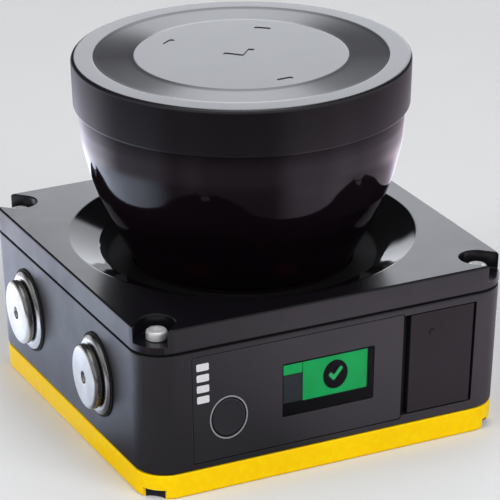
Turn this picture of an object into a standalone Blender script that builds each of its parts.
"""Compact safety laser scanner module, about 101 x 100 x 80 mm.

A yellow base plate carries a black housing with a display, a push button, a
hinged service-port cover and two round connector sockets with screw caps. The
lid has a round dish; a dark bowl-shaped optics cover rises from it and is
closed by a thick round cap. A motor in the neck spins a 45 degree mirror.

Origin: centre of the base's bottom face, on the scan axis. +Z up, -Y is the
front (display) face, -X is the left (connector) face. Sizes are in millimetres.
"""
import math

import bmesh
import bpy
from mathutils import Matrix, Vector

MM = 0.001

# ---------------------------------------------------------------- shared sizes
BODY_W = 101.0            # X
BODY_D = 100.0            # Y
CORNER_R = 8.5
WALL = 3.0
PAST_FRONT = BODY_D / 2 + 1.0     # distance along -Y at which front cuts end

BASE_TOP = 5.84
BASE_FLOOR = 3.0
SHELL_Z0, SHELL_Z1 = 6.16, 34.36
LID_Z0, LID_Z1 = 34.80, 40.37
GAP = 0.03                # air either side of a flat seal or standoff

# The four body corners; base, shell and lid screws share their places.
CORNERS = ((-1, -1), (1, -1), (1, 1), (-1, 1))
SCREW_X, SCREW_Y = 44.0, 43.5
SCREWS = [(sx * SCREW_X, sy * SCREW_Y) for sx, sy in CORNERS]
BOSS_R = 4.4

# Front face parts, as (low, high) ranges
PANEL_X, PANEL_Z = (-37.85, 20.2), (7.6, 33.0)
PANEL_FIT = 0.15
WINDOW_X, WINDOW_Z = (-13.3, 12.0), (14.5, 27.0)
DISPLAY_X, DISPLAY_Z = (-14.6, 13.1), (13.4, 28.1)
BUTTON_X, BUTTON_Z, BUTTON_R = -28.2, 17.35, 4.5
COVER_X0, COVER_Z = 22.2, (8.6, 32.4)
HINGE_X, HINGE_Y = 39.7, -49.0
HINGE_PIN_R = 0.5
PORT_X, PORT_Z = (26.7, 35.7), (15.7, 21.8)

# Left face parts
CONNECTOR_Y = (24.3, -20.6)
CONNECTOR_Z = 21.0
CONNECTOR_BODY_R = 7.6

# Faces round a turned part
SEG_BIG = 48
SEG_MID = 28
SEG_SMALL = 14

MERGE_DISTANCE = 1e-5
SHARP_ANGLE = 0.5         # radians; steeper edges of smooth parts stay sharp

# ---------------------------------------------------------------- materials
# look: (red, green, blue), roughness, metallic, alpha
LOOKS = {
    "yellow": ((0.95, 0.62, 0.02), 0.4, 0.0, 1.0),
    "black": ((0.02, 0.02, 0.024), 0.4, 0.0, 1.0),
    "gloss": ((0.01, 0.01, 0.012), 0.1, 0.0, 1.0),
    "tinted": ((0.03, 0.02, 0.03), 0.08, 0.0, 1.0),
    "rubber": ((0.015, 0.015, 0.015), 0.8, 0.0, 1.0),
    "nickel": ((0.80, 0.80, 0.80), 0.25, 1.0, 1.0),
    "steel": ((0.62, 0.63, 0.65), 0.3, 1.0, 1.0),
    "white": ((0.85, 0.85, 0.85), 0.5, 0.0, 1.0),
    "green": ((0.0, 0.45, 0.15), 0.3, 0.0, 1.0),
    "pcb": ((0.02, 0.18, 0.08), 0.5, 0.0, 1.0),
    "alu": ((0.75, 0.76, 0.78), 0.35, 1.0, 1.0),
    "mirror": ((0.9, 0.92, 0.95), 0.02, 1.0, 1.0),
    "glass": ((0.6, 0.7, 0.8), 0.03, 0.0, 0.5),
    "copper": ((0.6, 0.28, 0.12), 0.4, 1.0, 1.0),
    "red": ((0.7, 0.03, 0.02), 0.3, 0.0, 1.0),
}


def paint(obj, look):
    """Give the object its own material with one of the LOOKS."""
    rgb, roughness, metallic, alpha = LOOKS[look]
    mat = bpy.data.materials.new("mat_" + obj.name)
    mat.use_nodes = True
    inputs = mat.node_tree.nodes["Principled BSDF"].inputs
    inputs["Base Color"].default_value = (*rgb, 1.0)
    inputs["Roughness"].default_value = roughness
    inputs["Metallic"].default_value = metallic
    inputs["Alpha"].default_value = alpha
    obj.data.materials.append(mat)
    return obj


# ---------------------------------------------------------------- placing
def upright(x, y):
    return Matrix.Translation((x, y, 0))


def to_front(x, z, y=0.0):
    """Matrix turning +Z to the front (-Y)."""
    return Matrix.Translation((x, y, z)) @ Matrix.Rotation(math.pi / 2, 4, "X")


def to_left(y, z):
    """Matrix turning +Z to the left (-X)."""
    return Matrix.Translation((0, y, z)) @ Matrix.Rotation(-math.pi / 2, 4, "Y")


def origin_to(obj, x, y, z):
    """Put the object's origin on its joint axis without moving the shape."""
    point = Vector((x, y, z)) * MM
    obj.data.transform(Matrix.Translation(-point))
    obj.location = point
    return obj


# ---------------------------------------------------------------- outlines
def grow(limits, margin):
    """Widen a (low, high) range at both ends."""
    return limits[0] - margin, limits[1] + margin


def circle(radius, seg):
    return [(radius * math.cos(2 * math.pi * i / seg),
             radius * math.sin(2 * math.pi * i / seg)) for i in range(seg)]


def rounded_rect(width, depth, radius, steps=5):
    """Rounded rectangle, counter-clockwise, with steps edges per corner."""
    points = []
    half_w, half_d = width / 2 - radius, depth / 2 - radius
    for k, (sx, sy) in enumerate(((1, 1), (-1, 1), (-1, -1), (1, -1))):
        for i in range(steps + 1):
            angle = math.radians(90 * k + 90 * i / steps)
            points.append((sx * half_w + radius * math.cos(angle),
                           sy * half_d + radius * math.sin(angle)))
    return points


def body_outline(inset=0.0):
    return rounded_rect(BODY_W - 2 * inset, BODY_D - 2 * inset, CORNER_R - inset)


def offset(outline, distance):
    """Move each point inwards along its corner bisector."""
    moved = []
    for i, point in enumerate(outline):
        before, here = Vector(outline[i - 1]), Vector(point)
        after = Vector(outline[(i + 1) % len(outline)])
        edge_in, edge_out = (here - before).normalized(), (after - here).normalized()
        normal_in = Vector((-edge_in.y, edge_in.x))
        bisector = normal_in + Vector((-edge_out.y, edge_out.x))
        bisector /= max(1e-9, bisector.dot(normal_in))
        moved.append((here.x + bisector.x * distance, here.y + bisector.y * distance))
    return moved


def corner_slot(x, y, sx, sy, radius, length, steps=8):
    """Outline of a round-ended slot from (x, y) out through the corner (sx, sy)."""
    centre = Vector((x, y))
    out = Vector((sx, sy)).normalized()
    side = Vector((-out.y, out.x))
    points = []
    for i in range(steps + 1):
        angle = math.pi / 2 + math.pi * i / steps
        points.append(centre + radius * (math.cos(angle) * out + math.sin(angle) * side))
    points.append(centre + length * out - radius * side)
    points.append(centre + length * out + radius * side)
    return [(p.x, p.y) for p in points]


# ---------------------------------------------------------------- solids
def from_bmesh(name, bm, smooth=False, place=None):
    """Store a bmesh given in millimetres as an object, moved by place."""
    if place is not None:
        bmesh.ops.transform(bm, matrix=place, verts=bm.verts)
    bmesh.ops.remove_doubles(bm, verts=bm.verts, dist=MERGE_DISTANCE)
    bmesh.ops.recalc_face_normals(bm, faces=bm.faces)
    if smooth:
        for face in bm.faces:
            face.smooth = True
        for edge in bm.edges:
            if len(edge.link_faces) == 2 and edge.calc_face_angle() > SHARP_ANGLE:
                edge.smooth = False
    bmesh.ops.scale(bm, vec=(MM, MM, MM), verts=bm.verts)
    mesh = bpy.data.meshes.new(name)
    bm.to_mesh(mesh)
    bm.free()
    obj = bpy.data.objects.new(name, mesh)
    bpy.context.scene.collection.objects.link(obj)
    return obj


def add_ring(bm, points):
    return [bm.verts.new(p) for p in points]


def bridge(bm, first, second):
    """Faces between two rings; either ring may be a single point."""
    count = max(len(first), len(second))
    for i in range(count if len(first) + len(second) > 2 else 0):
        j = (i + 1) % count
        if len(first) == 1:
            bm.faces.new((first[0], second[j], second[i]))
        elif len(second) == 1:
            bm.faces.new((first[i], first[j], second[0]))
        else:
            bm.faces.new((first[i], first[j], second[j], second[i]))


def loft(name, loops, place=None):
    """Solid through a stack of loops with equal point counts, flat ends."""
    bm = bmesh.new()
    rings = [add_ring(bm, points) for points in loops]
    for lower, upper in zip(rings, rings[1:]):
        bridge(bm, lower, upper)
    bm.faces.new(list(reversed(rings[0])))
    bm.faces.new(rings[-1])
    return from_bmesh(name, bm, place=place)


def stack(name, outline, levels, place=None):
    """Solid with the outline inset differently at each (inset, height) level."""
    return loft(name, [[(x, y, z) for x, y in (offset(outline, inset) if inset else outline)]
                       for inset, z in levels], place)


def prism(name, outline, z0, z1, chamfer=0.0, place=None):
    """Upright prism; the chamfer shrinks the top and bottom loops."""
    levels = [(0.0, z0), (0.0, z1)]
    if chamfer > 0.0:
        levels = [(chamfer, z0), (0.0, z0 + chamfer), (0.0, z1 - chamfer), (chamfer, z1)]
    return stack(name, outline, levels, place)


def box(name, x_range, y_range, z_range, chamfer=0.0, place=None):
    (x0, x1), (y0, y1) = x_range, y_range
    return prism(name, [(x0, y0), (x1, y0), (x1, y1), (x0, y1)], *z_range, chamfer, place)


def frame(name, outer, inner, z0, z1):
    """Flat-ended ring between two outlines with equal point counts."""
    bm = bmesh.new()
    rings = [add_ring(bm, [(x, y, z) for x, y in outline])
             for outline, z in ((outer, z0), (outer, z1), (inner, z1), (inner, z0))]
    for k in range(4):
        bridge(bm, rings[k], rings[(k + 1) % 4])
    return from_bmesh(name, bm)


def lathe(name, profile, seg, place=None):
    """Closed profile of (radius, height) turned about Z; radius 0 closes on the axis."""
    bm = bmesh.new()
    rings = [add_ring(bm, [(x, y, z) for x, y in circle(radius, seg)] if radius > 0
                      else [(0, 0, z)]) for radius, z in profile]
    for k, ring in enumerate(rings):
        bridge(bm, ring, rings[(k + 1) % len(rings)])
    return from_bmesh(name, bm, True, place)


def rod(name, radius, z0, z1, place=None, seg=SEG_SMALL):
    return lathe(name, [(0, z0), (radius, z0), (radius, z1), (0, z1)], seg, place)


def tube(name, inner, outer, z0, z1, seg=SEG_MID, place=None):
    return lathe(name, [(inner, z0), (outer, z0), (outer, z1), (inner, z1)], seg, place)


# ---------------------------------------------------------------- booleans
def combine(obj, tool, operation):
    tool.hide_render = True
    tool.display_type = "WIRE"
    mod = obj.modifiers.new(operation.lower() + "_" + tool.name, "BOOLEAN")
    mod.operation = operation
    mod.solver = "EXACT"
    mod.object = tool


def cut(obj, tool):
    combine(obj, tool, "DIFFERENCE")


def fuse(obj, tool):
    combine(obj, tool, "UNION")


# ---------------------------------------------------------------- scene reset
for old in list(bpy.data.objects):
    bpy.data.objects.remove(old, do_unlink=True)

# ---------------------------------------------------------------- base plate
NOTCH_R = 5.3             # quarter-round notches under the body corners
NOTCH_H = 2.3
# (radius, height): head recess, countersink and through hole
BASE_SCREW_HOLE = [(0, -1), (2.9, -1), (2.9, 0.5), (1.7, 1.8), (1.7, 8), (0, 8)]
BASE_SCREW = [(0, 0.75), (0.9, 0.25), (2.6, 0.25), (2.6, 0.55), (1.5, 1.75),
              (1.5, 14.0), (0, 14.6)]

base = paint(prism("base_plate", body_outline(), 0.0, BASE_TOP, 0.35), "yellow")
cut(base, prism("cut_base_tray", body_outline(WALL), BASE_FLOOR, 8.0))
for k, ((sx, sy), (x, y)) in enumerate(zip(CORNERS, SCREWS)):
    here = upright(x, y)
    fuse(base, rod("add_base_boss_%d" % k, BOSS_R, BASE_FLOOR - 0.5, BASE_TOP, here))
    cut(base, rod("cut_base_notch_%d" % k, NOTCH_R, -1.0, NOTCH_H,
                  upright(sx * BODY_W / 2, sy * BODY_D / 2), SEG_MID))
    cut(base, lathe("cut_base_screw_%d" % k, BASE_SCREW_HOLE, SEG_SMALL, here))
    paint(lathe("base_screw_%d" % (k + 1), BASE_SCREW, SEG_SMALL, here), "steel")

paint(frame("base_seal", body_outline(0.8), body_outline(2.4),
            BASE_TOP + GAP, SHELL_Z0 - GAP), "rubber")

# ---------------------------------------------------------------- housing shell
SHELL_HOLE_R = 1.6
PORT_SEAT_Y = -47.6       # floor of the port cover's recess

shell = paint(frame("housing_shell", body_outline(), body_outline(WALL),
                    SHELL_Z0, SHELL_Z1), "black")
for k, (x, y) in enumerate(SCREWS):
    fuse(shell, rod("add_shell_boss_%d" % k, BOSS_R, SHELL_Z0, SHELL_Z1, upright(x, y)))
fuse(shell, box("add_port_block", (17.0, 39.0), (PORT_SEAT_Y, -44.2), (SHELL_Z0, SHELL_Z1)))
for k, (x, y) in enumerate(SCREWS):
    here = upright(x, y)
    cut(shell, rod("cut_shell_low_%d" % k, SHELL_HOLE_R, 5.0, 15.5, here))
    cut(shell, rod("cut_shell_high_%d" % k, SHELL_HOLE_R, 24.0, 36.0, here))
cut(shell, box("cut_panel_seat", (PANEL_X[0] - PANEL_FIT, 20.4), (-PAST_FRONT, -49.15),
               grow(PANEL_Z, PANEL_FIT)))
cut(shell, box("cut_display", grow(DISPLAY_X, 0.6), (-PAST_FRONT, -46.0),
               grow(DISPLAY_Z, 0.6)))
cut(shell, rod("cut_button", BUTTON_R + 0.5, 46.0, PAST_FRONT, to_front(BUTTON_X, BUTTON_Z)))
cut(shell, box("cut_port_seat", (20.3, 41.0), (-PAST_FRONT, PORT_SEAT_Y), grow(COVER_Z, 0.4)))
cut(shell, box("cut_port_hole", grow(PORT_X, 0.2), (-48.5, -43.5), grow(PORT_Z, 0.2)))
cut(shell, rod("cut_hinge_pin", HINGE_PIN_R + 0.03, 6.9, 33.75, upright(HINGE_X, HINGE_Y)))
for k, y in enumerate(CONNECTOR_Y):
    cut(shell, rod("cut_connector_%d" % k, CONNECTOR_BODY_R + 0.2, 46.5, BODY_W / 2 + 1.0,
                   to_left(y, CONNECTOR_Z), SEG_MID))

# ---------------------------------------------------------------- lid
PLUG_R, PLUG_Z = 46.3, 31.2       # round plug reaching down into the shell
DISH_R = 44.6
NECK_R = 28.65
LID_HOLE_R = 24.5
LID_SEAT_Z = 33.2         # ledge carrying the optics cover
POCKET_R, POCKET_LENGTH, POCKET_Z = 4.5, 9.0, 36.6
ABOVE_LID = 45.0
# (inset, height) of the body outline, with rounded top edge
LID_LEVELS = [(0.25, LID_Z0), (0.0, LID_Z0 + 0.25), (0.0, LID_Z1 - 0.45),
              (0.15, LID_Z1 - 0.13), (0.5, LID_Z1)]
# (radius, height) from the bottom of the neck hole up the dish
DISH = [(0, 30.0), (LID_HOLE_R, 30.0), (LID_HOLE_R, LID_SEAT_Z), (NECK_R, LID_SEAT_Z),
        (NECK_R, 35.2), (33.8, 35.2), (34.6, 35.3), (36.6, 37.4), (37.2, 37.75),
        (DISH_R - 0.2, 40.28), (DISH_R + 0.1, LID_Z1 + 0.05),
        (DISH_R + 0.1, ABOVE_LID), (0, ABOVE_LID)]
LID_HEAD_Z = POCKET_Z + 0.05
LID_SCREW = [(0, 25.6), (1.5, 26.2), (1.5, LID_HEAD_Z), (2.9, LID_HEAD_Z), (2.9, 37.95),
             (2.6, 38.6), (1.9, 39.0), (1.2, 39.0), (1.0, 37.8), (0, 37.8)]

paint(frame("lid_seal", body_outline(0.9), body_outline(2.3),
            SHELL_Z1 + GAP, LID_Z0 - GAP), "rubber")

lid = paint(stack("lid", body_outline(), LID_LEVELS), "black")
fuse(lid, rod("add_lid_plug", PLUG_R, PLUG_Z, LID_Z0 + 1.0, seg=SEG_BIG))
cut(lid, lathe("cut_dish", DISH, SEG_BIG))
for k, ((sx, sy), (x, y)) in enumerate(zip(CORNERS, SCREWS)):
    cut(lid, rod("cut_lid_screw_%d" % k, 1.7, 30.0, 40.0, upright(x, y)))
    cut(lid, prism("cut_lid_pocket_%d" % k, corner_slot(x, y, sx, sy, POCKET_R, POCKET_LENGTH),
                   POCKET_Z, ABOVE_LID))
    paint(lathe("lid_screw_%d" % (k + 1), LID_SCREW, SEG_SMALL, upright(x, y)), "steel")

# ---------------------------------------------------------------- optics cover
BOWL_WALL = 1.9
# outer surface from the rim down, (radius, height)
BOWL_OUT = [(40.40, 69.8), (40.30, 66.0), (39.90, 62.0), (38.93, 58.0), (37.78, 54.0),
            (36.23, 50.0), (34.21, 46.0), (32.01, 42.0), (29.71, 38.0), (28.80, 36.4)]
BOWL_COLLAR = [(37.7, 73.0), (37.7, 69.8)]
BOWL_NECK = [(28.2, 36.0), (28.2, 33.55), (26.4, 33.55), (26.4, 36.2)]
BOWL_IN = ([(36.2, 73.0), (36.2, 68.2), (38.4, 67.2)]
           + [(r - BOWL_WALL, z + 0.1) for r, z in BOWL_OUT[1:]])

paint(lathe("optics_cover", BOWL_COLLAR + BOWL_OUT + BOWL_NECK + BOWL_IN[::-1], SEG_BIG),
      "tinted")
paint(tube("optics_cover_seal", 26.5, 28.2, 33.25, 33.5, SEG_BIG), "rubber")

# ---------------------------------------------------------------- cap
CAP_R = 41.5
CAP_Z0, CAP_Z1 = 70.0, 80.0
# (radius, height): disc, shallow groove, rim, then the hollow underside
CAP = [(0, 79.85), (26.1, 79.85), (27.5, 79.45), (29.2, 79.2), (31.0, 79.1),
       (32.8, 79.2), (34.6, 79.5), (36.2, CAP_Z1), (40.6, CAP_Z1), (41.2, 79.75),
       (CAP_R, 79.2), (CAP_R, 70.5), (41.2, CAP_Z0), (38.3, CAP_Z0), (38.0, 70.3),
       (38.0, 77.0), (0, 77.0)]
CAP_RECESS_R = 1.1
CAP_RECESS_CENTRE = 24.0  # distance from the axis
CAP_RECESS_ANGLES = (-105, 135, 70)

cap = paint(lathe("cap", CAP, SEG_BIG), "black")
for k, degrees in enumerate(CAP_RECESS_ANGLES):
    angle = math.radians(degrees)
    cut(cap, rod("cut_cap_key_%d" % k, CAP_RECESS_R, 79.2, 81.0,
                 upright(CAP_RECESS_CENTRE * math.cos(angle),
                         CAP_RECESS_CENTRE * math.sin(angle))))

# ---------------------------------------------------------------- front panel
BUTTON_FACE = 49.95
# (radius, distance along -Y): narrow stem, then the head
BUTTON = [(0, 46.8), (2.0, 46.8), (2.0, 48.4), (BUTTON_R, 48.4), (BUTTON_R, 49.8),
          (BUTTON_R - 0.15, BUTTON_FACE), (0, BUTTON_FACE)]
button_place = to_front(BUTTON_X, BUTTON_Z)

panel = paint(box("front_panel", PANEL_X, (-49.9, -49.2), PANEL_Z, 0.1), "black")
cut(panel, box("cut_panel_window", grow(WINDOW_X, PANEL_FIT), (-PAST_FRONT, -48.0),
               grow(WINDOW_Z, PANEL_FIT)))
cut(panel, rod("cut_panel_button", BUTTON_R + 0.2, 48.0, PAST_FRONT, button_place, SEG_MID))
paint(tube("button_ring", 4.78, 5.25, 49.91, 49.985, place=button_place), "white")
button = lathe("push_button", BUTTON, SEG_MID, button_place)
paint(origin_to(button, BUTTON_X, -49.0, BUTTON_Z), "black")
paint(box("display_window", WINDOW_X, (-49.88, -48.2), WINDOW_Z, 0.1), "gloss")
paint(box("display_module", DISPLAY_X, (-48.0, -43.75), DISPLAY_Z), "green")

# ---------------------------------------------------------------- port cover
KNUCKLE_R = 0.9           # half the cover's thickness
hinge_place = upright(HINGE_X, HINGE_Y)

# Seen from above: a flat leaf with a half-round end about the hinge
knuckle = [(HINGE_X + KNUCKLE_R * math.sin(math.radians(a)),
            HINGE_Y - KNUCKLE_R * math.cos(math.radians(a))) for a in range(0, 181, 15)]
leaf = [(COVER_X0, HINGE_Y - KNUCKLE_R)] + knuckle + [(COVER_X0, HINGE_Y + KNUCKLE_R)]
port_cover = prism("port_cover", leaf, *COVER_Z)
fuse(port_cover, rod("add_cover_nub", 0.8, 49.5, 50.2, to_front(28.3, 27.5), 16))
cut(port_cover, rod("cut_cover_bore", HINGE_PIN_R + 0.06, 7.0, 34.0, hinge_place))
paint(origin_to(port_cover, HINGE_X, HINGE_Y, sum(COVER_Z) / 2), "black")
paint(rod("port_hinge_pin", HINGE_PIN_R, 7.2, 33.6, hinge_place), "steel")

# ---------------------------------------------------------------- service port
port = paint(box("service_port", PORT_X, (-47.3, -43.75), PORT_Z), "nickel")
cut(port, prism("cut_port_mouth", rounded_rect(7.4, 4.2, 1.6, 4), 0.0, 2.8,
                place=to_front(sum(PORT_X) / 2, sum(PORT_Z) / 2, -44.6)))

# ---------------------------------------------------------------- connectors
FLANGE_R = 9.2
SOCKET_R = 6.06
SCREW_CAP_R = 7.5
SCREW_CAP_ORIGIN_X = -52.2
PIN_R, PIN_CIRCLE_R, OUTER_PINS = 0.45, 2.6, 4
# Profiles are (radius, distance along -X).
CONNECTOR_BODY = [(SOCKET_R, 42.5), (CONNECTOR_BODY_R, 42.5), (CONNECTOR_BODY_R, 50.95),
                  (FLANGE_R, 50.95), (FLANGE_R, 51.7), (FLANGE_R - 0.3, 52.0),
                  (SOCKET_R, 52.0)]
CONNECTOR_SEAL = [(8.0, 50.53), (9.8, 50.53), (9.8, 50.75), (9.6, 50.92), (8.0, 50.92)]
SCREW_CAP = [(4.6, 48.6), (6.0, 48.6), (6.0, 52.44), (7.2, 52.44), (SCREW_CAP_R, 52.74),
             (SCREW_CAP_R, 54.1), (7.1, 54.5), (0.9, 54.5), (0.8, 54.0), (0, 54.0),
             (0, 51.9), (4.6, 51.9)]


def connector(number, y):
    """Socket with pins, its seal, and the screw cap with its gasket."""
    here = to_left(y, CONNECTOR_Z)
    tag = "_%d" % number
    paint(lathe("connector_body" + tag, CONNECTOR_BODY, SEG_MID, here), "nickel")
    paint(lathe("connector_seal" + tag, CONNECTOR_SEAL, SEG_MID, here), "rubber")
    insert = paint(rod("connector_insert" + tag, 5.95, 43.0, 46.6, here, SEG_MID), "black")
    for i in range(OUTER_PINS + 1):
        radius = PIN_CIRCLE_R if i < OUTER_PINS else 0.0      # the last pin is central
        angle = math.pi / 4 + math.pi / 2 * i
        fuse(insert, rod("add_pin%s_%d" % (tag, i), PIN_R, 45.5, 48.1,
                         to_left(y + radius * math.cos(angle),
                                 CONNECTOR_Z + radius * math.sin(angle)), 8))
    gasket = tube("cap_gasket" + tag, 6.1, 7.1, 52.03, 52.41, place=here)
    paint(origin_to(gasket, SCREW_CAP_ORIGIN_X, y, CONNECTOR_Z), "rubber")
    screw_cap = lathe("connector_cap" + tag, SCREW_CAP, SEG_MID, here)
    paint(origin_to(screw_cap, SCREW_CAP_ORIGIN_X, y, CONNECTOR_Z), "nickel")


for k, y in enumerate(CONNECTOR_Y):
    connector(k + 1, y)

# ---------------------------------------------------------------- boards
BOARD_Z0, BOARD_Z1 = 9.0, 10.6
STANDOFF_XY = 35.0
# centre x, centre y, width, depth, height above the board
CHIPS = ((-16, 26, 14, 14, 1.6), (14, 28, 10, 10, 1.2),
         (28, 4, 9, 12, 2.4), (-28, -30, 12, 8, 2.0))

board = paint(box("main_board", (-40.0, 40.0), (-39.5, 39.5), (BOARD_Z0, BOARD_Z1)), "pcb")
for k, (x, y, width, depth, height) in enumerate(CHIPS):
    fuse(board, box("add_chip_%d" % k, grow((x, x), width / 2), grow((y, y), depth / 2),
                    (10.0, BOARD_Z1 + height)))
for k, (sx, sy) in enumerate(CORNERS):
    paint(rod("standoff_%d" % (k + 1), 2.6, BASE_FLOOR + GAP, BOARD_Z0 - GAP,
              upright(sx * STANDOFF_XY, sy * STANDOFF_XY)), "steel")
paint(box("front_board", (-36.0, 38.5), (-43.6, -42.2), (11.2, 30.6)), "pcb")
switch = paint(box("button_switch", grow((BUTTON_X, BUTTON_X), 3), (-45.4, -43.7),
                   grow((BUTTON_Z, BUTTON_Z), 3)), "black")
fuse(switch, rod("add_switch_nub", 1.5, 45.0, 46.0, button_place))

# ---------------------------------------------------------------- motor, fixed side
SHAFT_R = 2.0
SHAFT_BORE_R = SHAFT_R + 0.06
BEARING_R, BEARING_H = 3.6, 3.0
BRACKET_BORE_R = BEARING_R + 0.05
# (radius, height): bearing tube standing in a flanged cup
BRACKET = [(BRACKET_BORE_R, 14.0), (5.0, 14.0), (5.0, 20.5), (22.5, 20.5), (22.5, 29.5),
           (27.0, 29.5), (27.0, 31.0), (20.9, 31.0), (20.9, 22.3), (5.0, 22.3),
           (5.0, 32.4), (BRACKET_BORE_R, 32.4)]
TEETH = 9
# one stator tooth and the gap after it: (degrees from the tooth's middle, radius)
TOOTH = ((-17, 12.2), (-8.5, 12.3), (0, 12.3), (8.5, 12.3), (17, 12.2), (17, 10.8),
         (7, 10.4), (7, 8.0), (20, 7.4))

paint(lathe("motor_bracket", BRACKET, SEG_MID), "alu")
stator_outline = []
for i in range(TEETH):
    for degrees, radius in TOOTH:
        angle = 2 * math.pi * i / TEETH + math.radians(degrees)
        stator_outline.append((radius * math.cos(angle), radius * math.sin(angle)))
stator = paint(prism("motor_stator", stator_outline, 23.0, 31.0), "copper")
cut(stator, rod("cut_stator", 5.15, 22.0, 32.0, seg=SEG_MID))
for name, z in (("bearing_lower", 14.4), ("bearing_upper", 29.0)):
    paint(tube(name, SHAFT_BORE_R, BEARING_R, z, z + BEARING_H, SEG_SMALL), "steel")
paint(box("encoder_sensor", (16.5, 21.5), (-3.0, 3.0), (31.3, 34.6)), "black")

# ---------------------------------------------------------------- rotor
# (radius, height): top web and outer skirt
ROTOR_BELL = [(SHAFT_BORE_R, 32.75), (12.7, 32.75), (12.7, 23.2), (14.2, 23.2),
              (14.2, 34.2), (SHAFT_BORE_R, 34.2)]
MIRROR_R = 13.0
MIRROR_Z = 54.5           # mirror face on the scan axis
MIRROR_DROP = 1.6         # mirror thickness measured along Z
CARRIER_R = MIRROR_R - 0.6

paint(rod("motor_shaft", SHAFT_R, 12.6, 41.8), "steel")
paint(lathe("rotor_bell", ROTOR_BELL, SEG_MID), "steel")
paint(tube("encoder_disc", SHAFT_BORE_R, 19.5, 34.9, 35.4), "glass")


def level_ring(bm, radius, z):
    return add_ring(bm, [(x, y, z) for x, y in circle(radius, SEG_MID)])


def sloped_ring(bm, radius, z):
    """Upright cylinder's section at 45 degrees, rising towards +Y."""
    return add_ring(bm, [(x, y, z + y) for x, y in circle(radius, SEG_MID)])


def mirror_carrier():
    """Cylinder with a sloped top and a blind shaft bore from below."""
    bm = bmesh.new()
    bottom = level_ring(bm, CARRIER_R, 38.4)
    top = sloped_ring(bm, CARRIER_R, MIRROR_Z - 1.75)
    bore_mouth = level_ring(bm, SHAFT_BORE_R, 38.4)
    bore_end = level_ring(bm, SHAFT_BORE_R, 42.0)
    bridge(bm, bottom, top)
    bm.faces.new(top)
    bridge(bm, bore_mouth, bottom)
    bridge(bm, bore_end, bore_mouth)
    bm.faces.new(bore_end[::-1])
    return from_bmesh("mirror_carrier", bm, True)


def scan_mirror():
    """Plate between two sloped sections."""
    bm = bmesh.new()
    bottom = sloped_ring(bm, MIRROR_R, MIRROR_Z - MIRROR_DROP)
    top = sloped_ring(bm, MIRROR_R, MIRROR_Z)
    bridge(bm, bottom, top)
    bm.faces.new(top)
    bm.faces.new(bottom[::-1])
    return from_bmesh("scan_mirror", bm, True)


paint(mirror_carrier(), "black")
paint(scan_mirror(), "mirror")

# ---------------------------------------------------------------- optics, fixed side
# Profiles are (radius, height).
LENS_HOLDER = [(12.4, 69.4), (13.8, 69.4), (13.8, 73.15), (37.6, 73.15), (37.6, 74.6),
               (12.4, 74.6)]
LENS = [(3.3, 69.95), (6.0, 70.05), (9.0, 70.35), (12.3, 70.9), (12.3, 71.9),
        (9.0, 72.4), (6.0, 72.7), (3.3, 72.8)]
# outer edge of the spine at the rear of the bowl, (y, z)
SPINE = [(26.3, 37.35), (28.9, 42.0), (31.1, 46.0), (33.2, 50.0), (34.8, 54.0),
         (35.0, 58.0), (35.0, 73.0)]
SPINE_T = 1.8
SPINE_HALF_W = 6.0

paint(lathe("lens_holder", LENS_HOLDER, SEG_MID), "black")
paint(lathe("receiver_lens", LENS, SEG_MID), "glass")
paint(rod("laser_module", 3.1, 69.2, 74.6), "alu")
paint(rod("receiver_board", 18.0, 74.75, 75.75, seg=SEG_MID), "pcb")

spine_loop = SPINE + [(y - SPINE_T, z) for y, z in reversed(SPINE)]
paint(loft("rear_spine", [[(x, y, z) for y, z in spine_loop]
                          for x in (-SPINE_HALF_W, SPINE_HALF_W)]), "black")

# ---------------------------------------------------------------- status lights
LED_ANGLES = (216.0, 272.0)       # degrees about the scan axis, from +X

paint(tube("led_board", 22.0, 26.2, 36.4, 37.2), "pcb")
for k, degrees in enumerate(LED_ANGLES):
    paint(box("status_led_%d" % (k + 1), (22.6, 25.4), (-2.4, 2.4), (37.25, 39.6), 0.2,
              Matrix.Rotation(math.radians(degrees), 4, "Z")), "red")
